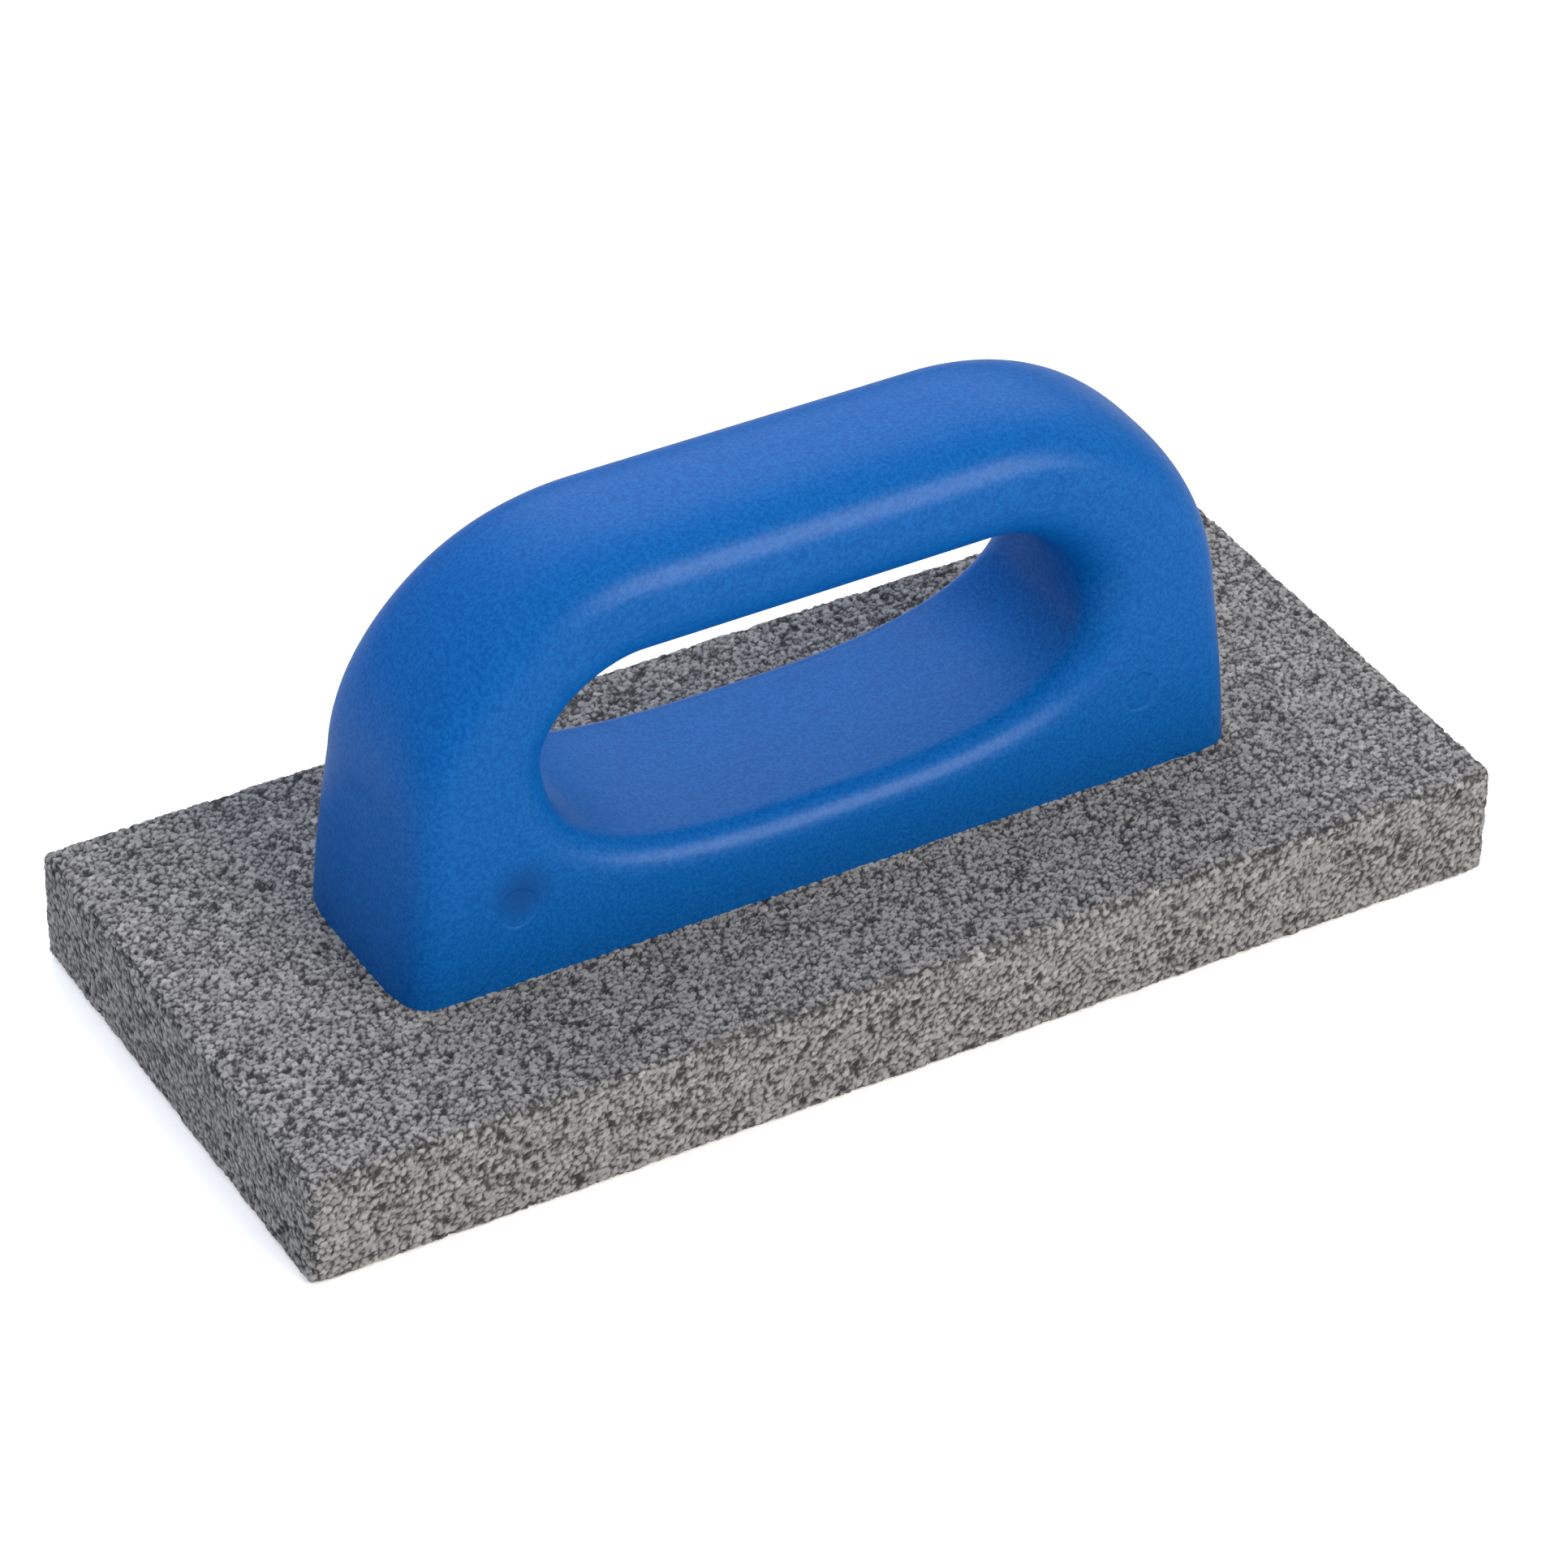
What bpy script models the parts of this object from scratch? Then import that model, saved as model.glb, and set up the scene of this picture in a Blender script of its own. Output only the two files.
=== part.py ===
"""Rubbing brick with a loop handle bonded on top. Metres, +Z up.

The origin is the centre of the brick's underside, the face that rubs. +X runs along the brick
and +Y across it. Every piece is symmetric about the planes x = 0 and y = 0.
"""
import math

import bmesh
import bpy

# Driving dimensions, in metres
BRICK_LENGTH = 0.2032
BRICK_WIDTH = 0.0889
BRICK_THICKNESS = 0.01905
BRICK_CORNER = 0.0024            # rounding of the four upright edges
BRICK_ARRIS = 0.0007             # wear on the edges around the top and the underside
SEAT_GAP = 0.0003                # between neighbouring pieces

FOOT_HALF_LENGTH = 0.0719
FOOT_HALF_WIDTH = 0.0182
HANDLE_HEIGHT = 0.0656           # from the brick's top face to the top of the grip
GRIP_HALF_WIDTH = 0.0154
CROWN_HALF_LENGTH = 0.0283       # straight run of the grip's top
SHOULDER_RUN = 0.04125           # shoulder arc, horizontal and vertical radius
SHOULDER_DROP = 0.0381
SHOULDER_POWER = 2.1             # superellipse power: 2 is a plain ellipse, more is squarer
FOOT_CORNER = 0.0070             # upright corner radius at the foot
GRIP_TOP_FILLET = 0.0093

WINDOW_FLOOR = 0.0138            # plastic left under the window, above the brick's top face
WINDOW_HALF_LENGTH = 0.0460
WINDOW_LOWER_HEIGHT = 0.01915    # from the window's floor up to its widest level
WINDOW_UPPER_HEIGHT = 0.0124     # from its widest level up to its flat ceiling
WINDOW_UPPER_RUN = 0.0162        # horizontal length of each upper corner
LOWER_CORNER_POWER = 2.8
UPPER_CORNER_POWER = 1.7
FLOOR_FILLET = 0.0033
GRIP_UNDER_FILLET = 0.0110

TAPER_START = 0.0040             # height above the foot where the sides start to lean in
TAPER_END = 0.0556               # and where they reach the grip's width
FILLET_GROWTH = (0.0080, 0.0576)  # heights between which the outer fillet grows

BED_THICKNESS = 0.0012
BED_INSET = 0.0055               # from the foot's outline to the recess
RECESS_CORNER = 0.0040

# Resolution of the curved stretches
SHOULDER_STEPS = 20
CROWN_STEPS = 6
LEG_STEPS = 5
UPPER_CORNER_STEPS = 10
LOWER_WINDOW_STEPS = 36
FILLET_STEPS = 7
FOOT_STEPS = 16

FOOT_Z = BRICK_THICKNESS + SEAT_GAP
TOP_Z = BRICK_THICKNESS + HANDLE_HEIGHT
FLOOR_Z = BRICK_THICKNESS + WINDOW_FLOOR
WAIST_Z = FLOOR_Z + WINDOW_LOWER_HEIGHT
CEILING_Z = WAIST_Z + WINDOW_UPPER_HEIGHT


def clear_scene():
    for obj in list(bpy.data.objects):
        bpy.data.objects.remove(obj, do_unlink=True)


def make_collection(name):
    collection = bpy.data.collections.new(name)
    bpy.context.scene.collection.children.link(collection)
    return collection


def make_material(name, colour, roughness, metallic=0.0):
    material = bpy.data.materials.new(name)
    material.use_nodes = True
    shader = material.node_tree.nodes["Principled BSDF"]
    shader.inputs["Base Color"].default_value = (*colour, 1.0)
    shader.inputs["Roughness"].default_value = roughness
    shader.inputs["Metallic"].default_value = metallic
    return material


def add_object(name, bm, collection, material=None):
    mesh = bpy.data.meshes.new(name)
    bm.to_mesh(mesh)
    bm.free()
    obj = bpy.data.objects.new(name, mesh)
    collection.objects.link(obj)
    if material:
        mesh.materials.append(material)
    return obj


def smoothstep(value):
    t = min(max(value, 0.0), 1.0)
    return t * t * (3 - 2 * t)


def blend(low, high, share):
    return low + (high - low) * share


def rounded_block(length, width, bottom, top, corner, segments):
    """Box from bottom to top with its four upright edges rounded."""
    bm = bmesh.new()
    bmesh.ops.create_cube(bm, size=1.0)
    bmesh.ops.scale(bm, vec=(length, width, top - bottom), verts=bm.verts)
    bmesh.ops.translate(bm, vec=(0, 0, (top + bottom) / 2), verts=bm.verts)
    upright = [e for e in bm.edges if abs(e.verts[0].co.z - e.verts[1].co.z) > (top - bottom) / 2]
    bmesh.ops.bevel(bm, geom=upright, offset=corner, segments=segments, profile=0.5, affect="EDGES")
    return bm


# Handle: the half on the -Y side is lofted round the loop, then mirrored. Its fillets grow from
# the square foot to the full round of the grip, so its sections are unlike one another.

def half_width(z):
    height = z - BRICK_THICKNESS
    share = smoothstep((height - TAPER_START) / (TAPER_END - TAPER_START))
    return blend(FOOT_HALF_WIDTH, GRIP_HALF_WIDTH, share)


def outer_fillet(z):
    start, end = FILLET_GROWTH
    share = smoothstep((z - BRICK_THICKNESS - start) / (end - start))
    return blend(FOOT_CORNER, GRIP_TOP_FILLET, share)


def window_fillet(z):
    share = smoothstep((z - FLOOR_Z) / (CEILING_Z - FLOOR_Z))
    return blend(FLOOR_FILLET, GRIP_UNDER_FILLET, share)


def superellipse(angle, run, rise, power):
    """Point of a superellipse centred on the origin, for an angle in its first quarter."""
    cosine = max(math.cos(angle), 0.0)
    return run * cosine ** (2 / power), rise * math.sin(angle) ** (2 / power)


def quarter_angles(steps):
    return [math.pi / 2 * k / steps for k in range(steps + 1)]


def outer_arch():
    """Side view of the handle's outside, from the foot at +X over the crown to the foot at -X."""
    spring_z = TOP_Z - SHOULDER_DROP
    spring_x = CROWN_HALF_LENGTH + SHOULDER_RUN
    leg = [(blend(FOOT_HALF_LENGTH, spring_x, k / LEG_STEPS), blend(FOOT_Z, spring_z, k / LEG_STEPS))
           for k in range(LEG_STEPS)]
    arc = [superellipse(a, SHOULDER_RUN, SHOULDER_DROP, SHOULDER_POWER)
           for a in quarter_angles(SHOULDER_STEPS)]
    right = leg + [(CROWN_HALF_LENGTH + x, spring_z + z) for x, z in arc]
    crown = [(CROWN_HALF_LENGTH * (1 - 2 * k / CROWN_STEPS), TOP_Z) for k in range(1, CROWN_STEPS)]
    return right + crown + [(-x, z) for x, z in reversed(right)]


def window_loop():
    """Side view of the finger window, anticlockwise from its widest point at +X."""
    ceiling_x = WINDOW_HALF_LENGTH - WINDOW_UPPER_RUN
    corner = [superellipse(a, WINDOW_UPPER_RUN, WINDOW_UPPER_HEIGHT, UPPER_CORNER_POWER)
              for a in quarter_angles(UPPER_CORNER_STEPS)]
    right = [(ceiling_x + x, WAIST_Z + z) for x, z in corner]
    ceiling = [(ceiling_x * (1 - 2 * k / CROWN_STEPS), CEILING_Z) for k in range(1, CROWN_STEPS)]
    left = [(-x, z) for x, z in reversed(right)]
    lower = []
    for k in range(1, LOWER_WINDOW_STEPS):
        angle = math.pi * k / LOWER_WINDOW_STEPS
        x, z = superellipse(min(angle, math.pi - angle), WINDOW_HALF_LENGTH, WINDOW_LOWER_HEIGHT,
                            LOWER_CORNER_POWER)
        lower.append((-x if angle < math.pi / 2 else x, WAIST_Z - z))
    return right + ceiling + left + lower


def outward_normals(path, closed):
    """Unit normals on the right-hand side of an anticlockwise path."""
    normals = []
    last = len(path) - 1
    for k in range(len(path)):
        before = path[k - 1] if closed or k > 0 else path[k]
        after = path[(k + 1) % len(path)] if closed or k < last else path[k]
        dx, dz = after[0] - before[0], after[1] - before[1]
        length = math.hypot(dx, dz)
        normals.append((dz / length, -dx / length))
    if not closed:
        normals[0], normals[-1] = (1.0, 0.0), (-1.0, 0.0)
    return normals


def fillet_band(bm, path, fillet_at, closed, into_plastic):
    """Skin along a path: flat from the plane y = 0, then a fillet round to the handle's side.

    Returns its rows of vertices, from the plane y = 0 out to the edge of the side.
    """
    normals = outward_normals(path, closed)
    rows = [[bm.verts.new((x, 0.0, z)) for x, z in path]]
    for angle in quarter_angles(FILLET_STEPS):
        row = []
        for (x, z), (nx, nz) in zip(path, normals):
            radius = fillet_at(z)
            inset = into_plastic * radius * (1 - math.cos(angle))
            px, pz = x + nx * inset, z + nz * inset
            row.append(bm.verts.new((px, radius * (1 - math.sin(angle)) - half_width(pz), pz)))
        rows.append(row)
    count = len(path)
    for inner, outer in zip(rows, rows[1:]):
        for k in range(count if closed else count - 1):
            after = (k + 1) % count
            bm.faces.new((inner[k], inner[after], outer[after], outer[k]))
    return rows


def loop_edges(bm, verts):
    edges = []
    for pair in zip(verts, verts[1:] + verts[:1]):
        edges.append(bm.edges.get(pair) or bm.edges.new(pair))
    return edges


def handle_half():
    """Half of the handle on the -Y side, open at the plane y = 0."""
    bm = bmesh.new()
    outer = fillet_band(bm, outer_arch(), outer_fillet, closed=False, into_plastic=-1)
    window = fillet_band(bm, window_loop(), window_fillet, closed=True, into_plastic=1)
    left, right = outer[-1][-1].co.copy(), outer[-1][0].co.copy()
    foot_line = [bm.verts.new(left.lerp(right, k / FOOT_STEPS)) for k in range(1, FOOT_STEPS)]

    rims = loop_edges(bm, outer[-1] + foot_line) + loop_edges(bm, window[-1])
    bmesh.ops.triangle_fill(bm, use_beauty=True, edges=rims, normal=(0, -1, 0))
    left_end = [row[-1] for row in outer]
    right_end = [row[0] for row in reversed(outer)]
    bm.faces.new(left_end + foot_line + right_end)
    bmesh.ops.recalc_face_normals(bm, faces=bm.faces)
    return bm


def add_handle(collection, cutters, material):
    handle = add_object("handle", handle_half(), collection, material)
    mirror = handle.modifiers.new("both_sides", "MIRROR")
    mirror.use_axis = (False, True, False)
    mirror.merge_threshold = 0.00001

    recess = rounded_block(2 * (FOOT_HALF_LENGTH - BED_INSET), 2 * (FOOT_HALF_WIDTH - BED_INSET),
                           BRICK_THICKNESS, FOOT_Z + BED_THICKNESS + SEAT_GAP, RECESS_CORNER, 4)
    cutter = add_object("recess_cutter", recess, cutters)
    cutter.hide_render = True
    cutter.display_type = "WIRE"
    cut = handle.modifiers.new("adhesive_recess", "BOOLEAN")
    cut.operation = "DIFFERENCE"
    cut.solver = "EXACT"
    cut.object = cutter

    handle.data.shade_smooth()
    handle.data.set_sharp_from_angle(angle=math.radians(50))


def add_adhesive(collection, material):
    inset = BED_INSET + SEAT_GAP
    bed = rounded_block(2 * (FOOT_HALF_LENGTH - inset), 2 * (FOOT_HALF_WIDTH - inset),
                        FOOT_Z, FOOT_Z + BED_THICKNESS, RECESS_CORNER - SEAT_GAP, 4)
    add_object("adhesive_bed", bed, collection, material)


def add_brick(collection, material):
    block = rounded_block(BRICK_LENGTH, BRICK_WIDTH, 0.0, BRICK_THICKNESS, BRICK_CORNER, 4)
    brick = add_object("abrasive_brick", block, collection, material)
    worn = brick.modifiers.new("worn_arrises", "BEVEL")
    worn.width = BRICK_ARRIS
    worn.segments = 2
    worn.limit_method = "ANGLE"
    worn.angle_limit = math.radians(60)


def main():
    clear_scene()
    parts = make_collection("rubbing_brick")
    cutters = make_collection("cutters")
    add_brick(parts, make_material("bonded_silicon_carbide", (0.135, 0.135, 0.13), 0.95))
    add_handle(parts, cutters, make_material("blue_plastic", (0.004, 0.125, 0.45), 0.42))
    add_adhesive(parts, make_material("cured_epoxy", (0.42, 0.40, 0.34), 0.5))


main()
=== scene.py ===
"""Looks of a rubbing brick with a loop handle: open bonded grit, satin moulded plastic, studio.

Everything is in metres, in the CAD frame: the origin is the centre of the brick's underside, +X
runs along the brick, +Y across it and +Z up.
"""
import math

import bmesh
import bpy
import numpy as np
from mathutils import Matrix, Vector, noise


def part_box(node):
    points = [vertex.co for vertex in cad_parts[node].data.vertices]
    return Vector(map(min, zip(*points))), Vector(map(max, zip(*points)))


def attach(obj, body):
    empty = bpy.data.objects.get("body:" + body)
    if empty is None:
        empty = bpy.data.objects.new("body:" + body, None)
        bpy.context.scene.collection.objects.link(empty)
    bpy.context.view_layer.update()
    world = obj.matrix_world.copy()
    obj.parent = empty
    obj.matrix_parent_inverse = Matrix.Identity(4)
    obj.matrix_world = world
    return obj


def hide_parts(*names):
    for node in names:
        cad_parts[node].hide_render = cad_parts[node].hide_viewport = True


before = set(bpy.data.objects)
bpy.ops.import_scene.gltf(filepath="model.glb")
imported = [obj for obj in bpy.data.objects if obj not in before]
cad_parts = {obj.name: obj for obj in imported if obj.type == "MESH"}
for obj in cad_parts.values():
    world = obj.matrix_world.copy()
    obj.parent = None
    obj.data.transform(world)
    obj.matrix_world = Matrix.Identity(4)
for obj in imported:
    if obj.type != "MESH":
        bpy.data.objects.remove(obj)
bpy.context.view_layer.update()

MM = 0.001
BRICK_LOW, BRICK_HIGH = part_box("abrasive_brick")
HANDLE_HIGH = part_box("handle")[1]
BED_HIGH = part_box("adhesive_bed")[1]
BRICK_SIZE = BRICK_HIGH - BRICK_LOW
BRICK_TOP = BRICK_HIGH.z
TOUCHING = 0.001 * MM            # points closer than this are one point


# ---------------------------------------------------------------------------------------------
# Helpers

def smoothstep(value):
    t = np.clip(value, 0.0, 1.0)
    return t * t * (3 - 2 * t)


def blend(low, high, share):
    return low + (high - low) * share


def new_object(name, bm):
    mesh = bpy.data.meshes.new(name)
    bm.to_mesh(mesh)
    bm.free()
    obj = bpy.data.objects.new(name, mesh)
    bpy.context.scene.collection.objects.link(obj)
    return obj


def read_vectors(collection, attribute):
    values = np.empty(len(collection) * 3)
    collection.foreach_get(attribute, values)
    return values.reshape(-1, 3)


def add_attribute(mesh, name, values):
    layer = mesh.attributes.new(name, "FLOAT", "POINT")
    layer.data.foreach_set("value", values)


def noise_at(points):
    return np.array([noise.noise(point) for point in points])


# ---------------------------------------------------------------------------------------------
# Brick: a box with worn edges, remeshed finely, whose surface is then broken up into grains

CORNER_RADIUS = 1.9 * MM         # the four upright edges
ARRIS_RADIUS = 1.3 * MM          # the edges round the top and the underside
BRICK_CELL = 0.30 * MM           # mesh spacing
GRAIN = 1.10 * MM                # typical distance between neighbouring grains
WARP = 0.38                      # how far grain outlines are pushed about, in units of GRAIN
WARP_SCALE = 1.9                 # bends of an outline along one GRAIN
WARP_SEED = 1                    # without a seed, noise_vector changes from run to run
GROOVE_SHARE = 0.34              # width of the gap between grains, as a share of GRAIN
HOLE_SHARE = 0.42                # and of the hole where three grains meet
GRAIN_RELIEF = 0.20 * MM         # from the top of a grain to the bottom of such a hole
GROOVE_DEPTH = 0.80              # of an open groove, as a share of GRAIN_RELIEF
FILL_LENGTH = 0.9 * MM           # stretches over which a groove is open or filled with bond
FILL_CONTRAST = 1.3
TILT_RELIEF = 0.10 * MM          # how far a tilted grain's edge drops
PIT_DEPTH = 0.40 * MM            # where a grain is missing
PIT_SHARE = 0.05                 # share of grains that are missing on the flats
CHIP_SHARE = 0.48                # and along the arrises
CHIP_DEPTH = 0.85 * MM
CHIP_REACH = 1.6 * MM            # how far from an arris grains break out
ARRIS_LIGHT = 0.85               # how much less painted shade a missing grain gets on an arris than on a flat
SWELL = 0.14 * MM                # slow unevenness of the faces
SWELL_LENGTH = 4.0 * MM
SWELL_BIAS = 0.6                 # share of SWELL by which a face lies low on average
STAND_PROUD = 0.20 * MM          # of the tallest grains above the CAD faces, but for the underside
SHEET_SIDE = 246 * MM            # square that the brick's six faces are laid out on for its bake
SHEET_GAP = 2.0 * MM


def rise_of(edge):
    return abs(edge.verts[0].co.z - edge.verts[1].co.z)


def brick_blank():
    """Closed box the size of the CAD brick, with rounded upright edges and worn arrises."""
    bm = bmesh.new()
    bmesh.ops.create_cube(bm, size=1.0)
    bmesh.ops.scale(bm, vec=BRICK_SIZE, verts=bm.verts)
    bmesh.ops.translate(bm, vec=(BRICK_LOW + BRICK_HIGH) / 2, verts=bm.verts)
    upright = [e for e in bm.edges if rise_of(e) > BRICK_SIZE.z / 2]
    bmesh.ops.bevel(bm, geom=upright, offset=CORNER_RADIUS, segments=6, profile=0.5,
                    affect="EDGES")
    level = [e for e in bm.edges if rise_of(e) < BRICK_SIZE.z / 2]
    bmesh.ops.bevel(bm, geom=level, offset=ARRIS_RADIUS, segments=4, profile=0.5,
                    affect="EDGES", clamp_overlap=True)
    return new_object("brick_blank", bm)


def remeshed(source, name, cell):
    remesh = source.modifiers.new("even_grid", "REMESH")
    remesh.mode = "VOXEL"
    remesh.voxel_size = cell
    graph = bpy.context.evaluated_depsgraph_get()
    mesh = bpy.data.meshes.new_from_object(source.evaluated_get(graph))
    mesh.name = name
    bpy.data.objects.remove(source)
    obj = bpy.data.objects.new(name, mesh)
    bpy.context.scene.collection.objects.link(obj)
    return obj


def random_of(points, seed):
    """Repeatable value from 0 to 1 for each point."""
    mixed = points @ np.array((127.1, 311.7, 74.7)) + seed * 19.19
    return np.modf(np.abs(np.sin(mixed) * 43758.5453))[0]


def grains_at(points):
    """Distances to the three nearest grains, in units of GRAIN, and the nearest one's centre."""
    noise.seed_set(WARP_SEED)
    distances = np.empty((len(points), 3))
    centres = np.empty((len(points), 3))
    for k, point in enumerate(points / GRAIN):
        far, places = noise.voronoi(Vector(point) + WARP * noise.noise_vector(point * WARP_SCALE))
        distances[k] = far[:3]
        centres[k] = places[0]
    return distances, centres


def edge_nearness(points):
    """1 on an arris or an upright edge, falling to 0 at CHIP_REACH from it."""
    middle = np.array((BRICK_LOW + BRICK_HIGH) / 2)
    half = np.array(BRICK_SIZE / 2)
    depth = np.sort(half - np.abs(points - middle), axis=1)
    return 1 - smoothstep(depth[:, 1] / CHIP_REACH)


def roughen_brick(obj):
    """Moves the surface grain by grain, mostly inwards, and stores what the material needs."""
    mesh = obj.data
    points = read_vectors(mesh.vertices, "co")
    normals = read_vectors(mesh.vertices, "normal")
    distances, centres = grains_at(points)

    size_luck = random_of(centres, 1)
    groove = 1 - smoothstep((distances[:, 1] - distances[:, 0]) / GROOVE_SHARE)
    hole = 1 - smoothstep((distances[:, 2] - distances[:, 0]) / HOLE_SHARE)
    filled = smoothstep(0.5 + FILL_CONTRAST * noise_at(points / FILL_LENGTH))
    gap = blend(GROOVE_DEPTH * groove * filled, 1.0, hole)
    lean = np.stack([random_of(centres, seed) - 0.5 for seed in (2, 3, 4)], axis=1)
    tilt = np.clip(np.einsum("ij,ij->i", lean, points / GRAIN - centres), -0.5, 0.5)
    near_edge = edge_nearness(points)
    missing = (1 - groove) * (size_luck < blend(PIT_SHARE, CHIP_SHARE, near_edge))

    height = -GRAIN_RELIEF * gap + TILT_RELIEF * (2 * tilt - 0.5)
    height -= missing * blend(PIT_DEPTH, CHIP_DEPTH, near_edge)
    height += SWELL * (noise_at(points / SWELL_LENGTH) - SWELL_BIAS)
    height = np.minimum(height, 0.0) + STAND_PROUD * smoothstep(points[:, 2] / MM)
    mesh.vertices.foreach_set("co", (points + normals * height[:, None]).ravel())

    add_attribute(mesh, "grain", random_of(centres, 5))
    # shade: painted shade in the gaps, holes and missing grains, following their depth, lighter on the
    # arrises
    add_attribute(mesh, "shade", np.maximum(gap, missing * (1 - ARRIS_LIGHT * near_edge)))
    mesh.update()


def lay_out_faces(mesh):
    """UV layout in which each of the brick's six faces stays whole."""
    facing = read_vectors(mesh.polygons, "normal")
    axis = np.abs(facing).argmax(axis=1)
    positive = facing[np.arange(len(facing)), axis] > 0
    corners = np.empty(len(mesh.loops), int)
    mesh.loops.foreach_get("vertex_index", corners)
    face_of = np.repeat(np.arange(len(facing)), len(corners) // len(facing))
    points = (read_vectors(mesh.vertices, "co") - np.array(BRICK_LOW))[corners]
    uv = np.empty((len(corners), 2))
    left, bottom = SHEET_GAP, SHEET_GAP
    for face_axis, side in ((2, False), (2, True), (1, False), (1, True), (0, False), (0, True)):
        run, rise = [k for k in range(3) if k != face_axis]
        mine = ((axis == face_axis) & (positive == side))[face_of]
        uv[mine] = points[mine][:, (run, rise)] + (left, bottom)
        if face_axis == 0:
            left += BRICK_SIZE[run] + SHEET_GAP
        else:
            bottom += BRICK_SIZE[rise] + SHEET_GAP
    layer = mesh.uv_layers.new(name="OFBake")
    layer.uv.foreach_set("vector", (uv / SHEET_SIDE).ravel())


def make_brick(material):
    brick = remeshed(brick_blank(), "bonded_grit_block", BRICK_CELL)
    lay_out_faces(brick.data)
    roughen_brick(brick)
    brick.data.materials.append(material)
    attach(brick, "root")
    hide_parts("abrasive_brick")


# ---------------------------------------------------------------------------------------------
# Handle: closed sections lofted round the loop, from its square foot to its round grip

FOOT_Z = BRICK_TOP - 0.10 * MM   # seated among the grains of the brick's top face
TOP_Z = HANDLE_HIGH.z
FOOT_HALF_LENGTH = HANDLE_HIGH.x
FOOT_HALF_WIDTH = HANDLE_HIGH.y
GRIP_HALF_WIDTH = 15.4 * MM
CROWN_HALF_LENGTH = 28.3 * MM
SHOULDER_RUN = 41.25 * MM
SHOULDER_DROP = 38.1 * MM
SHOULDER_POWER = 2.1
FOOT_CORNER = 9.7 * MM           # how far the rounding of the outside reaches in, at the foot
CROWN_DEPTH = 9.8 * MM           # and at the grip
FOOT_POWER = 4.5                 # superellipse power of that rounding
CROWN_POWER = 2.7
FLOOR_Z = BRICK_TOP + 13.8 * MM
WAIST_Z = FLOOR_Z + 19.15 * MM
CEILING_Z = WAIST_Z + 12.4 * MM
WINDOW_HALF_LENGTH = 46.0 * MM
WINDOW_UPPER_RUN = 16.2 * MM
LOWER_CORNER_POWER = 2.8
UPPER_CORNER_POWER = 1.7
FLOOR_FILLET = 4.2 * MM
GRIP_UNDER_FILLET = 10.2 * MM
TAPER = (4.0 * MM, 55.6 * MM)    # heights above the brick between which the sides lean in
ROUNDING = (8.0 * MM, 57.6 * MM)  # and between which the outside's rounding changes

LEG_RIBS = 40                    # on each side: the leg, the shoulder and half of the crown
SHOULDER_RIBS = 70
CROWN_RIBS = 24
FOOT_RIBS = 90
ARC_POINTS = 24
OUTSIDE_STEPS = 20               # from the middle of the outside to where a rib meets the side
INSIDE_STEPS = 40                # from there to the middle of the window
SPLIT_SHARE = 0.80               # where the window's floor ends, as a share of its half length
SMOOTHING_FACTORS = (0.5, -0.52)  # inwards, then back out, so that nothing shrinks
SMOOTHINGS = 8                   # pairs of passes that even out the ribs' creases
SMOOTHED_FROM = 2.0 * MM
FILLET_ROOM = 0.985              # most of the grip's height that its two roundings may take up


def half_width(z):
    share = smoothstep((z - BRICK_TOP - TAPER[0]) / (TAPER[1] - TAPER[0]))
    return blend(FOOT_HALF_WIDTH, GRIP_HALF_WIDTH, share)


def rounding_share(z):
    return smoothstep((z - BRICK_TOP - ROUNDING[0]) / (ROUNDING[1] - ROUNDING[0]))


def window_fillet(z):
    return blend(FLOOR_FILLET, GRIP_UNDER_FILLET, smoothstep((z - FLOOR_Z) / (CEILING_Z - FLOOR_Z)))


def superellipse(run, rise, power, count=200):
    """Quarter of a superellipse, from its right-hand end to its top."""
    angle = np.linspace(0, math.pi / 2, count)
    cosine = np.clip(np.cos(angle), 0, 1)
    return np.stack([run * cosine ** (2 / power), rise * np.sin(angle) ** (2 / power)], axis=1)


def mirrored(path):
    return path[::-1] * (-1, 1)


def resampled(path, count):
    """The same path as count + 1 evenly spaced points."""
    along = np.concatenate([[0], np.cumsum(np.linalg.norm(np.diff(path, axis=0), axis=1))])
    places = np.linspace(0, along[-1], count + 1)
    return np.stack([np.interp(places, along, values) for values in path.T], axis=1)


def arch_of(leg, shoulder, crown):
    """Path from +X over the top to -X, whose ribs fall evenly on each of these stretches."""
    stretches = zip((leg, shoulder, crown), (LEG_RIBS, SHOULDER_RIBS, CROWN_RIBS))
    right = np.vstack([resampled(np.asarray(stretch), count)[:-1] for stretch, count in stretches])
    return np.vstack([right, crown[-1:], mirrored(right)])


def outer_arch():
    """Side view of the outside, from the foot at +X over the crown to the foot at -X."""
    spring_z = TOP_Z - SHOULDER_DROP
    leg = [(FOOT_HALF_LENGTH, FOOT_Z), (CROWN_HALF_LENGTH + SHOULDER_RUN, spring_z)]
    shoulder = superellipse(SHOULDER_RUN, SHOULDER_DROP, SHOULDER_POWER) + (CROWN_HALF_LENGTH, spring_z)
    return arch_of(leg, shoulder, [(CROWN_HALF_LENGTH, TOP_Z), (0, TOP_Z)])


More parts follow.
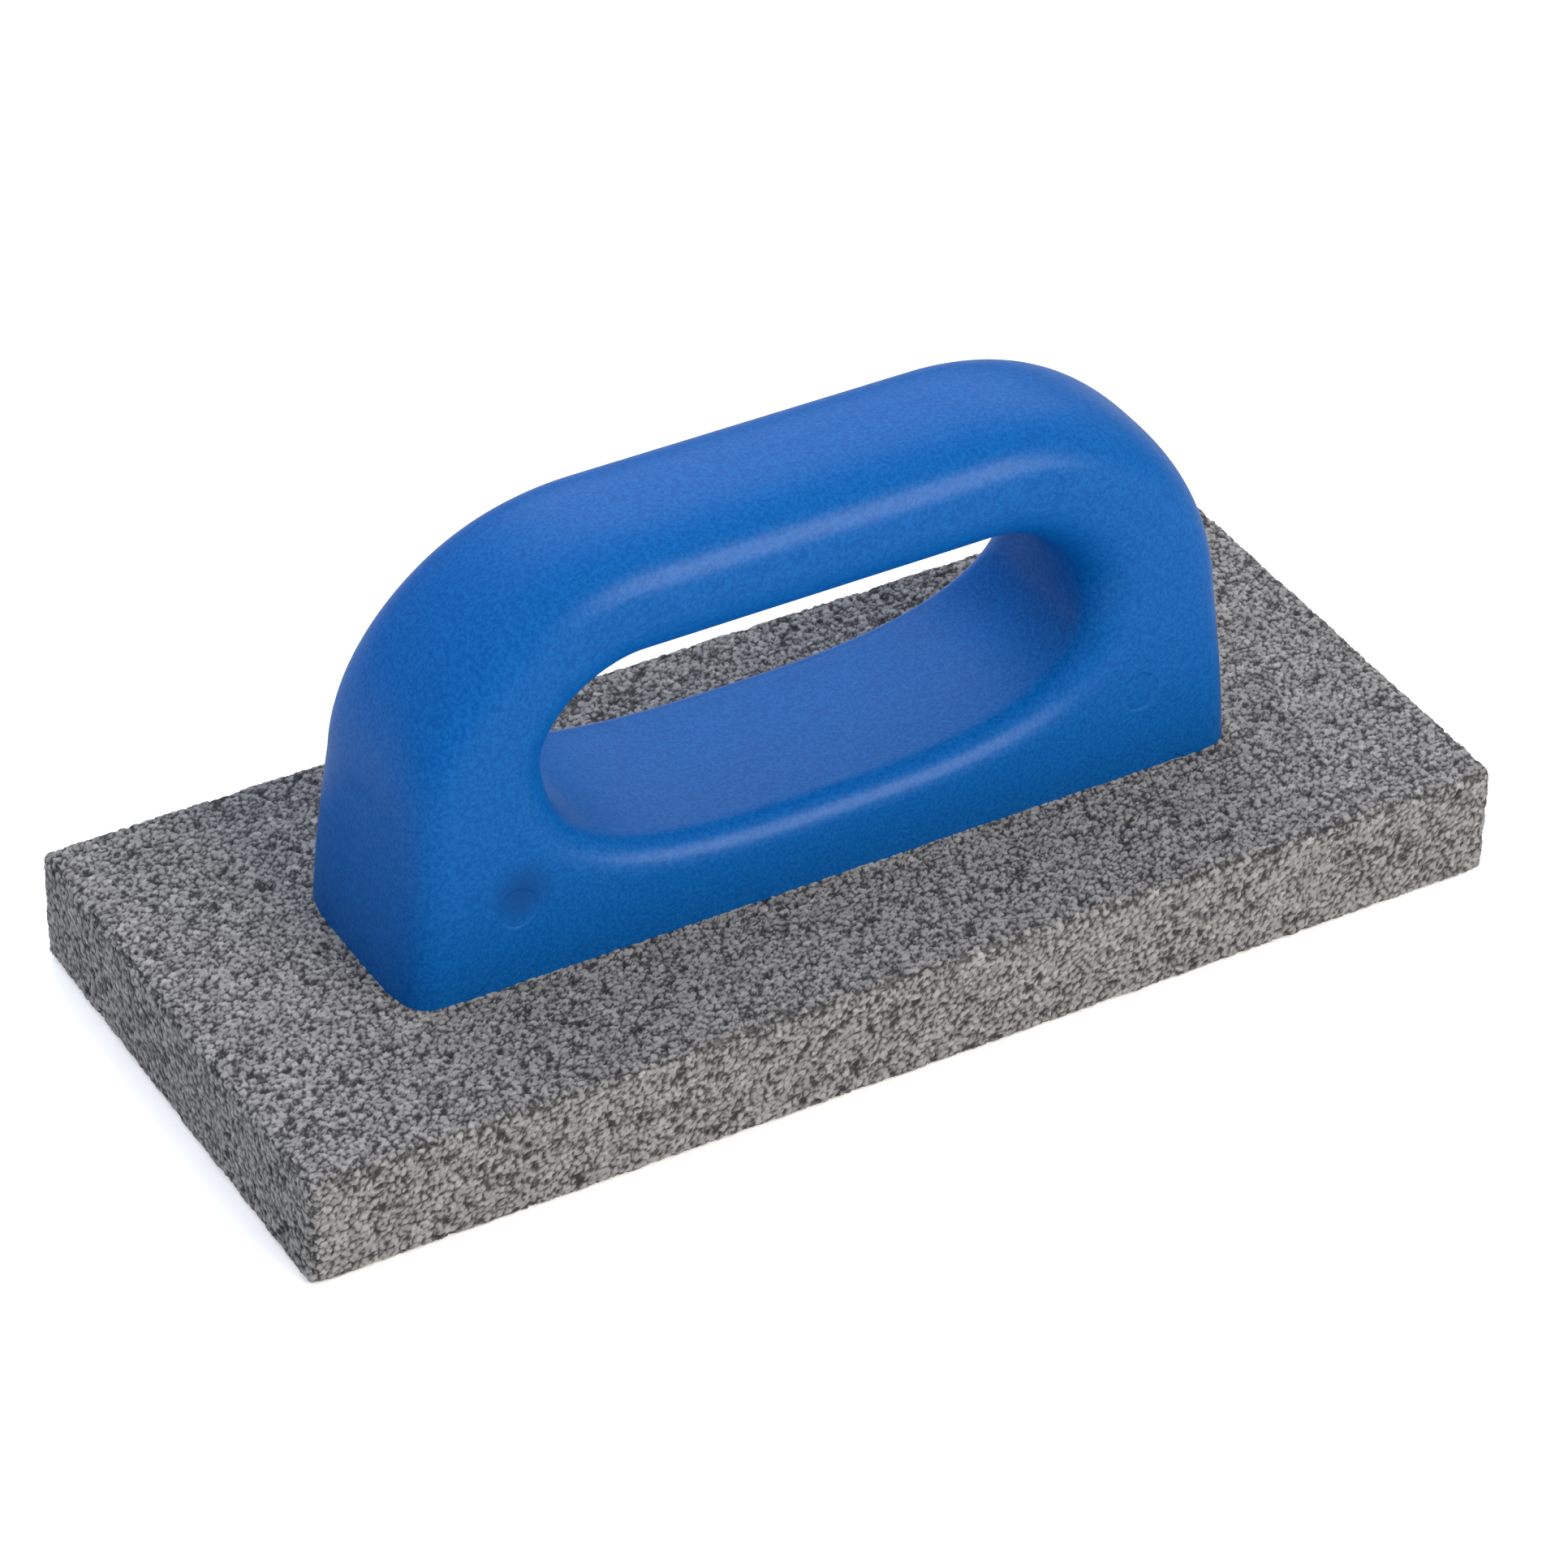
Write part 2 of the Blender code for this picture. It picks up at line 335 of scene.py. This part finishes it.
def window_paths():
    """Side view of the window in two paths: over its ceiling from +X to -X, and back on its floor."""
    ceiling_x = WINDOW_HALF_LENGTH - WINDOW_UPPER_RUN
    upper = superellipse(WINDOW_UPPER_RUN, CEILING_Z - WAIST_Z, UPPER_CORNER_POWER) + (ceiling_x, WAIST_Z)
    lower = superellipse(WINDOW_HALF_LENGTH, WAIST_Z - FLOOR_Z, LOWER_CORNER_POWER) * (1, -1) + (0, WAIST_Z)
    split = SPLIT_SHARE * WINDOW_HALF_LENGTH
    wall, floor = lower[lower[:, 0] >= split], lower[lower[:, 0] <= split]
    join = (wall[-1:] + floor[:1]) / 2
    half_floor = np.vstack([join, floor])
    ceiling = arch_of(np.vstack([join, wall[::-1]]), upper, [(ceiling_x, CEILING_Z), (0, CEILING_Z)])
    return ceiling, np.vstack([half_floor * (-1, 1), half_floor[::-1]])


def right_hand_normals(path):
    """Unit normals on the right of a closed path."""
    run = np.roll(path, -1, axis=0) - np.roll(path, 1, axis=0)
    run /= np.linalg.norm(run, axis=1)[:, None]
    return np.stack([run[:, 1], -run[:, 0]], axis=1)


def crowned_from(edge, towards, depth):
    """Outside of a rib, from its middle round to the handle's side."""
    power = blend(FOOT_POWER, CROWN_POWER, rounding_share(edge[1]))
    angle = np.linspace(0, math.pi / 2, ARC_POINTS)[:, None]
    cosine = np.clip(np.cos(angle), 0, 1)
    place = edge + towards * depth * (1 - cosine ** (2 / power))
    y = -half_width(place[:, 1]) * np.sin(angle[:, 0]) ** (2 / power)
    return np.stack([place[:, 0], y, place[:, 1]], axis=1)


def arc_from(edge, towards, radius):
    """Fillet from a path's point round to the handle's side."""
    angle = np.linspace(0, math.pi / 2, ARC_POINTS)[:, None]
    place = edge + towards * radius * (1 - np.cos(angle))
    y = radius * (1 - np.sin(angle[:, 0])) - half_width(place[:, 1])
    return np.stack([place[:, 0], y, place[:, 1]], axis=1)


def half_section(outer, outer_out, outer_depth, rim, rim_in, rim_radius):
    """Points of one rib from the outside's middle, round the -Y side, to the window's middle."""
    outside = crowned_from(outer, -outer_out, outer_depth)
    window = np.vstack([(rim[0], 0, rim[1]), arc_from(rim, rim_in, rim_radius)])[::-1]
    share = np.linspace(0, 1, ARC_POINTS)[1:-1, None]
    side = blend(outside[-1], window[0], share)
    side[:, 1] = -half_width(side[:, 2])
    inside = np.vstack([outside[-1:], side, window])
    return np.vstack([resampled(outside, OUTSIDE_STEPS), resampled(inside, INSIDE_STEPS)[1:]])


def both_sides(half):
    """Closed ring of points from one side's, which start and end on the plane y = 0."""
    return np.vstack([half, half[-2:0:-1] * (1, -1, 1)])


def fitted(radii, path, other_radii, other_path):
    """Roundings along a path, made smaller where the other path's would meet them."""
    gaps = np.linalg.norm(path[:, None] - other_path[None], axis=2)
    nearest = gaps.argmin(axis=1)
    room = FILLET_ROOM * gaps.min(axis=1) / (radii + other_radii[nearest])
    return radii * np.minimum(1.0, room)


def handle_rings():
    arch = outer_arch()
    arch_out = right_hand_normals(arch)
    arch_out[0], arch_out[-1] = (1, 0), (-1, 0)
    foot_end = FOOT_HALF_LENGTH - FOOT_CORNER
    foot = np.stack([np.linspace(-foot_end, foot_end, FOOT_RIBS + 1),
                     np.full(FOOT_RIBS + 1, FOOT_Z)], axis=1)
    foot_out = np.tile((0.0, -1.0), (len(foot), 1))
    ceiling, floor = window_paths()
    floor = resampled(floor, FOOT_RIBS)
    turn = len(ceiling) - 1
    rim_in = right_hand_normals(np.vstack([ceiling[:-1], floor[:-1]]))
    rim_in = np.vstack([rim_in[:turn + 1], rim_in[turn:], rim_in[:1]])

    outer, rim = np.vstack([arch, foot]), np.vstack([ceiling, floor])
    outward = np.vstack([arch_out, foot_out])
    crown_depths = blend(FOOT_CORNER, CROWN_DEPTH, rounding_share(arch[:, 1]))
    rim_radii = window_fillet(rim[:, 1])
    depths = np.concatenate([fitted(crown_depths, arch, rim_radii, rim), np.zeros(len(foot))])
    rim_radii = fitted(rim_radii, rim, crown_depths, arch)
    return [both_sides(half_section(outer[k], outward[k], depths[k], rim[k], rim_in[k], rim_radii[k]))
            for k in range(len(outer))]


def loft_closed(rings):
    bm = bmesh.new()
    rows = [[bm.verts.new(point) for point in ring] for ring in rings]
    for ring, after in zip(rows, rows[1:] + rows[:1]):
        for k in range(len(ring)):
            k2 = (k + 1) % len(ring)
            bm.faces.new((ring[k], after[k], after[k2], ring[k2]))
    bmesh.ops.remove_doubles(bm, verts=bm.verts, dist=TOUCHING)
    bmesh.ops.recalc_face_normals(bm, faces=bm.faces)
    above_foot = [v for v in bm.verts if v.co.z > FOOT_Z + SMOOTHED_FROM]
    for factor in SMOOTHING_FACTORS * SMOOTHINGS:
        bmesh.ops.smooth_vert(bm, verts=above_foot, factor=factor, use_axis_x=True, use_axis_y=True,
                              use_axis_z=True)
    return bm


# Handle: the recess underneath that holds the adhesive

RECESS_MARGIN = 0.3 * MM         # left round the adhesive bed
RECESS_CORNER = 4.0 * MM
CORNER_STEPS = 6


def rounded_rectangle(half_x, half_y, corner, z):
    points = []
    for quadrant, (sign_x, sign_y) in enumerate(((1, 1), (-1, 1), (-1, -1), (1, -1))):
        for k in range(CORNER_STEPS + 1):
            angle = math.pi / 2 * (quadrant + k / CORNER_STEPS)
            points.append((sign_x * (half_x - corner) + corner * math.cos(angle),
                           sign_y * (half_y - corner) + corner * math.sin(angle), z))
    return points


def closed_edges(bm, points):
    verts = [bm.verts.new(point) for point in points]
    return [bm.edges.new(pair) for pair in zip(verts, verts[1:] + verts[:1])]


def cut_recess(bm):
    under = [f for f in bm.faces if all(abs(v.co.z - FOOT_Z) < TOUCHING for v in f.verts)]
    bmesh.ops.delete(bm, geom=under, context="FACES")
    rim = [e for e in bm.edges if e.is_boundary]
    mouth = closed_edges(bm, rounded_rectangle(BED_HIGH.x + RECESS_MARGIN, BED_HIGH.y + RECESS_MARGIN,
                                               RECESS_CORNER, FOOT_Z))
    bmesh.ops.triangle_fill(bm, use_beauty=True, edges=rim + mouth, normal=(0, 0, -1))
    walls = bmesh.ops.extrude_edge_only(bm, edges=mouth)["geom"]
    risen = [v for v in walls if isinstance(v, bmesh.types.BMVert)]
    bmesh.ops.translate(bm, vec=(0, 0, BED_HIGH.z + RECESS_MARGIN - FOOT_Z), verts=risen)
    bmesh.ops.contextual_create(bm, geom=[e for e in walls if isinstance(e, bmesh.types.BMEdge)
                                          and all(v in risen for v in e.verts)])
    bmesh.ops.recalc_face_normals(bm, faces=bm.faces)


# Handle: round marks left on the -Y side by the mould's ejector pins, and a sink mark whose dent also gets
# painted shade

RING_RADIUS = 3.2 * MM
RING_SHOULDER = 0.35 * MM
RING_MARKS = (                   # x, z, depth
    (-53.7 * MM, 32.5 * MM, 0.12 * MM),
    (53.2 * MM, 34.0 * MM, 0.12 * MM),
    (-33.6 * MM, 75.0 * MM, 0.09 * MM),
    (36.0 * MM, 74.5 * MM, 0.18 * MM),
)
SINK_PLACE = (-53.0 * MM, 35.0 * MM)
SINK_RADIUS = 6.4 * MM
SINK_DEPTH = 0.16 * MM
MARK_MARGIN = 1.3 * MM           # surface round a mark that is divided finely with it
MARK_CUTS = 3
FRONT_FACING = -0.3              # Y of a normal below which a face belongs to the -Y side
SHARP_ANGLE = math.radians(50)


def from_mark(v, place):
    return math.hypot(v.co.x - place[0], v.co.z - place[1])


def marked_verts(bm, place, reach):
    """Vertices on the -Y side near a mark, after dividing the faces there finely."""
    near = [f for f in bm.faces if f.normal.y < FRONT_FACING
            and min(from_mark(v, place) for v in f.verts) < reach]
    edges = list(dict.fromkeys(e for f in near for e in f.edges))
    bmesh.ops.subdivide_edges(bm, edges=edges, cuts=MARK_CUTS, use_grid_fill=True)
    bmesh.ops.triangulate(bm, faces=[f for f in bm.faces if len(f.verts) > 4])
    bm.normal_update()
    return [v for v in bm.verts if v.normal.y < FRONT_FACING and from_mark(v, place) < reach]


def press_marks(bm):
    bm.normal_update()
    for x, z, depth in RING_MARKS:
        for v in marked_verts(bm, (x, z), RING_RADIUS + MARK_MARGIN):
            rise = (from_mark(v, (x, z)) - RING_RADIUS) / RING_SHOULDER + 0.5
            v.co -= v.normal * depth * float(1 - smoothstep(rise))
    # the bowl's depth is stored for painted shade in the sink mark's dent
    shade = bm.verts.layers.float.new("sink_painted_shade")
    for v in marked_verts(bm, SINK_PLACE, SINK_RADIUS + MARK_MARGIN):
        bowl = max(0.0, 1 - (from_mark(v, SINK_PLACE) / SINK_RADIUS) ** 2) ** 2
        v.co -= v.normal * SINK_DEPTH * bowl
        v[shade] = bowl


def make_handle(material):
    bm = loft_closed(handle_rings())
    cut_recess(bm)
    press_marks(bm)
    handle = new_object("handle_moulding", bm)
    handle.data.shade_smooth()
    handle.data.set_sharp_from_angle(angle=SHARP_ANGLE)
    handle.data.materials.append(material)
    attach(handle, "root")
    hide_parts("handle")


# ---------------------------------------------------------------------------------------------
# Materials

class Nodes:
    """Short calls for building one material's nodes."""

    def __init__(self, name):
        self.material = bpy.data.materials.new(name)
        self.material.use_nodes = True
        self.tree = self.material.node_tree
        self.shader = self.tree.nodes["Principled BSDF"]

    def add(self, kind, **values):
        node = self.tree.nodes.new(kind)
        for key, value in values.items():
            if key in node.inputs:
                node.inputs[key].default_value = value
            else:
                setattr(node, key, value)
        return node

    def link(self, source, target):
        self.tree.links.new(source, target)

    def shade(self, **values):
        for key, value in values.items():
            self.shader.inputs[key.replace("_", " ")].default_value = value

    def noise(self, scale, detail=2.0, rough=0.5):
        place = self.add("ShaderNodeNewGeometry")
        pattern = self.add("ShaderNodeTexNoise", Scale=scale, Detail=detail, Roughness=rough)
        self.link(place.outputs["Position"], pattern.inputs["Vector"])
        return pattern.outputs["Fac"]

    def ramp(self, source, *stops):
        node = self.add("ShaderNodeValToRGB")
        ramp = node.color_ramp
        while len(ramp.elements) < len(stops):
            ramp.elements.new(0.5)
        for element, (position, colour) in zip(ramp.elements, stops):
            element.position = position
            element.color = (*colour, 1.0)
        self.link(source, node.inputs["Fac"])
        return node.outputs["Color"]

    def attribute(self, name):
        return self.add("ShaderNodeAttribute", attribute_name=name).outputs["Fac"]

    def mix(self, share, first, second, blend_type="MIX"):
        node = self.add("ShaderNodeMix", data_type="RGBA", blend_type=blend_type)
        for value, socket in ((share, node.inputs[0]), (first, node.inputs[6]), (second, node.inputs[7])):
            if isinstance(value, (float, int)):
                socket.default_value = value
            elif isinstance(value, tuple):
                socket.default_value = (*value, 1.0)
            else:
                self.link(value, socket)
        return node.outputs[2]

    def map_range(self, source, low, high, new_low, new_high):
        node = self.add("ShaderNodeMapRange")
        for key, value in (("From Min", low), ("From Max", high), ("To Min", new_low), ("To Max", new_high)):
            node.inputs[key].default_value = value
        self.link(source, node.inputs["Value"])
        return node.outputs["Result"]

    def bump(self, height, distance, strength=1.0, normal=None):
        node = self.add("ShaderNodeBump", Strength=strength, Distance=distance)
        self.link(height, node.inputs["Height"])
        if normal:
            self.link(normal, node.inputs["Normal"])
        return node.outputs["Normal"]


def grit_material():
    """Grey silicon carbide grains with painted shade in the gaps and pits between them; a few grains glint.
    """
    m = Nodes("bonded_silicon_carbide")
    grain = m.attribute("grain")
    grey = m.ramp(grain, (0.0, (0.193, 0.192, 0.190)), (1.0, (0.281, 0.279, 0.275)))
    fine = m.ramp(m.noise(1700, 3.0, 0.6), (0.3, (0.75, 0.75, 0.75)), (0.7, (1.25, 1.25, 1.25)))
    grey = m.mix(1.0, grey, fine, "MULTIPLY")
    # painted shade: darkens the gaps, holes and pits where the relief is deepest
    painted_pit_shade = m.ramp(m.attribute("shade"), (0.10, (1.0, 1.0, 1.0)), (0.90, (0.12, 0.12, 0.13)))
    grey = m.mix(1.0, grey, painted_pit_shade, "MULTIPLY")
    m.link(grey, m.shader.inputs["Base Color"])
    m.shade(Specular_IOR_Level=0.34)
    m.link(m.map_range(grain, 0.93, 1.0, 0.9, 0.4), m.shader.inputs["Roughness"])
    m.link(m.bump(m.noise(1800, 3.0, 0.6), 0.12 * MM, 0.5), m.shader.inputs["Normal"])
    return m.material


def plastic_material():
    """Satin blue moulded plastic: faint mottle, orange-peel skin, and painted shade in the sink mark."""
    m = Nodes("blue_moulded_plastic")
    mottle = m.ramp(m.noise(1600, 3.0, 0.7), (0.40, (0.0, 0.072, 0.290)), (0.60, (0.003, 0.102, 0.362)))
    # painted shade: darker blue in the sink mark, deepest at its middle
    colour_with_painted_sink_shade = m.mix(m.attribute("sink_painted_shade"), mottle, (0.003, 0.058, 0.225))
    m.link(colour_with_painted_sink_shade, m.shader.inputs["Base Color"])
    m.link(m.map_range(m.noise(900, 3.0), 0.3, 0.7, 0.30, 0.38), m.shader.inputs["Roughness"])
    m.shade(Specular_IOR_Level=0.10)
    peel = m.bump(m.noise(420, 3.0, 0.55), 0.06 * MM, 0.35)
    m.link(m.bump(m.noise(3000, 2.0, 0.5), 0.018 * MM, 0.7, peel), m.shader.inputs["Normal"])
    return m.material


def epoxy_material():
    m = Nodes("cured_epoxy")
    m.link(m.ramp(m.noise(300, 3.0), (0.35, (0.36, 0.34, 0.28)), (0.65, (0.46, 0.44, 0.37))),
           m.shader.inputs["Base Color"])
    m.shade(Roughness=0.45)
    m.link(m.bump(m.noise(500, 2.0), 0.1 * MM, 0.4), m.shader.inputs["Normal"])
    return m.material


def floor_material():
    """Pale to the camera and in soft light, but dim where the object reflects it."""
    m = Nodes("pale_floor")
    pale = m.ramp(m.noise(30, 3.0), (0.3, (0.86, 0.86, 0.86)), (0.7, (0.88, 0.88, 0.88)))
    reflected = m.add("ShaderNodeLightPath").outputs["Is Glossy Ray"]
    m.link(m.mix(reflected, pale, FLOOR_REFLECTED), m.shader.inputs["Base Color"])
    m.shade(Roughness=0.8, Emission_Color=(1.0, 1.0, 1.0, 1.0), Emission_Strength=FLOOR_GLOW)
    return m.material


# ---------------------------------------------------------------------------------------------
# Studio

CAMERA_AIM = Vector((7.0, 9.4, 15.4)) * MM
CAMERA_DISTANCE = 0.9815
CAMERA_AZIMUTH = math.radians(30.89)     # from the -Y direction towards -X
CAMERA_ELEVATION = math.radians(36.71)
CAMERA_ROLL = math.radians(1.22)
CAMERA_LENS = 147.06                     # mm, on a 36 mm sensor
BACKDROP = 1.15                          # brightness of the world where the camera sees it
FLOOR_REFLECTED = (0.15, 0.15, 0.16)     # colour of the floor where the object reflects it
FLOOR_HALF_SIZE = 3.0
FLOOR_GAP = 0.05 * MM                    # left under the brick
LAMPS_AIM = Vector((0, 0, 0.04))
WARM_LIGHT = (1.0, 0.87, 0.70)
COOL_LIGHT = (0.86, 0.91, 1.0)
FLOOR_GLOW = 0.36                        # keeps the shadows round the brick pale
SKY_COLOUR = (0.834, 0.890, 1.0, 1.0)
SKY_STRENGTH = 0.787
SKY_FADE = 0.25                          # height, as a sine, below which the sky fades to nothing


def direction(azimuth, elevation):
    """Unit vector from the object; azimuth turns from -Y towards -X."""
    flat = math.cos(elevation)
    return Vector((-math.sin(azimuth) * flat, -math.cos(azimuth) * flat, math.sin(elevation)))


def add_camera():
    data = bpy.data.cameras.new("camera")
    data.lens = CAMERA_LENS
    data.sensor_width = 36.0
    data.clip_start = 0.05
    data.clip_end = 20.0
    camera = bpy.data.objects.new("camera", data)
    towards = direction(CAMERA_AZIMUTH, CAMERA_ELEVATION)
    turn = (-towards).to_track_quat("-Z", "Y").to_matrix() @ Matrix.Rotation(CAMERA_ROLL, 3, "Z")
    camera.matrix_world = Matrix.Translation(CAMERA_AIM + towards * CAMERA_DISTANCE) @ turn.to_4x4()
    bpy.context.scene.collection.objects.link(camera)
    bpy.context.scene.camera = camera


def add_softbox(name, azimuth, elevation, distance, size, power, colour=(1.0, 1.0, 1.0)):
    """Rectangular lamp that faces the object, at a direction in degrees."""
    data = bpy.data.lights.new(name, "AREA")
    data.shape = "RECTANGLE"
    data.size, data.size_y = size
    data.energy = power
    data.color = colour
    light = bpy.data.objects.new(name, data)
    towards = direction(math.radians(azimuth), math.radians(elevation))
    turn = (-towards).to_track_quat("-Z", "Y").to_matrix().to_4x4()
    light.matrix_world = Matrix.Translation(LAMPS_AIM + towards * distance) @ turn
    bpy.context.scene.collection.objects.link(light)
    return light


def add_floor():
    bm = bmesh.new()
    bmesh.ops.create_grid(bm, x_segments=24, y_segments=24, size=FLOOR_HALF_SIZE)
    bmesh.ops.translate(bm, vec=(0, 0, BRICK_LOW.z - FLOOR_GAP), verts=bm.verts)
    floor = new_object("floor", bm)
    floor.data.materials.append(floor_material())


def add_world():
    """Soft light from a pale sky that fades out at the horizon, though the camera sees it even."""
    world = bpy.data.worlds.new("studio")
    world.use_nodes = True
    tree = world.node_tree
    background = tree.nodes["Background"]
    background.inputs["Color"].default_value = SKY_COLOUR
    height = tree.nodes.new("ShaderNodeSeparateXYZ")
    tree.links.new(tree.nodes.new("ShaderNodeTexCoord").outputs["Generated"], height.inputs[0])
    sky = tree.nodes.new("ShaderNodeMapRange")
    sky.inputs["From Max"].default_value = SKY_FADE
    sky.inputs["To Max"].default_value = SKY_STRENGTH
    tree.links.new(height.outputs["Z"], sky.inputs["Value"])
    strength = tree.nodes.new("ShaderNodeMix")
    tree.links.new(tree.nodes.new("ShaderNodeLightPath").outputs["Is Camera Ray"], strength.inputs[0])
    tree.links.new(sky.outputs["Result"], strength.inputs[2])
    strength.inputs[3].default_value = BACKDROP
    tree.links.new(strength.outputs[0], background.inputs["Strength"])
    bpy.context.scene.world = world


def add_studio():
    add_floor()
    add_camera()
    add_world()
    key = add_softbox("key", -17, 42, 1.15, (0.55, 0.55), 10.0, WARM_LIGHT)
    back = add_softbox("back", 180, 50, 0.9, (0.6, 0.6), 4.2, COOL_LIGHT)
    left = add_softbox("left", 90, 55, 0.55, (0.4, 0.4), 0.30, COOL_LIGHT)
    sheen = add_softbox("key_sheen", -27, 24, 0.98, (0.5, 0.7), 14.0, (1.0, 0.98, 1.0))
    back_sheen = add_softbox("back_sheen", -149, 40, 1.0, (0.9, 0.7), 3.0)
    sheen.visible_diffuse = back_sheen.visible_diffuse = False
    key.visible_glossy = back.visible_glossy = left.visible_glossy = False
    bpy.context.scene.view_settings.view_transform = "Standard"


make_brick(grit_material())
make_handle(plastic_material())
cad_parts["adhesive_bed"].data.materials.clear()
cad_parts["adhesive_bed"].data.materials.append(epoxy_material())
add_studio()
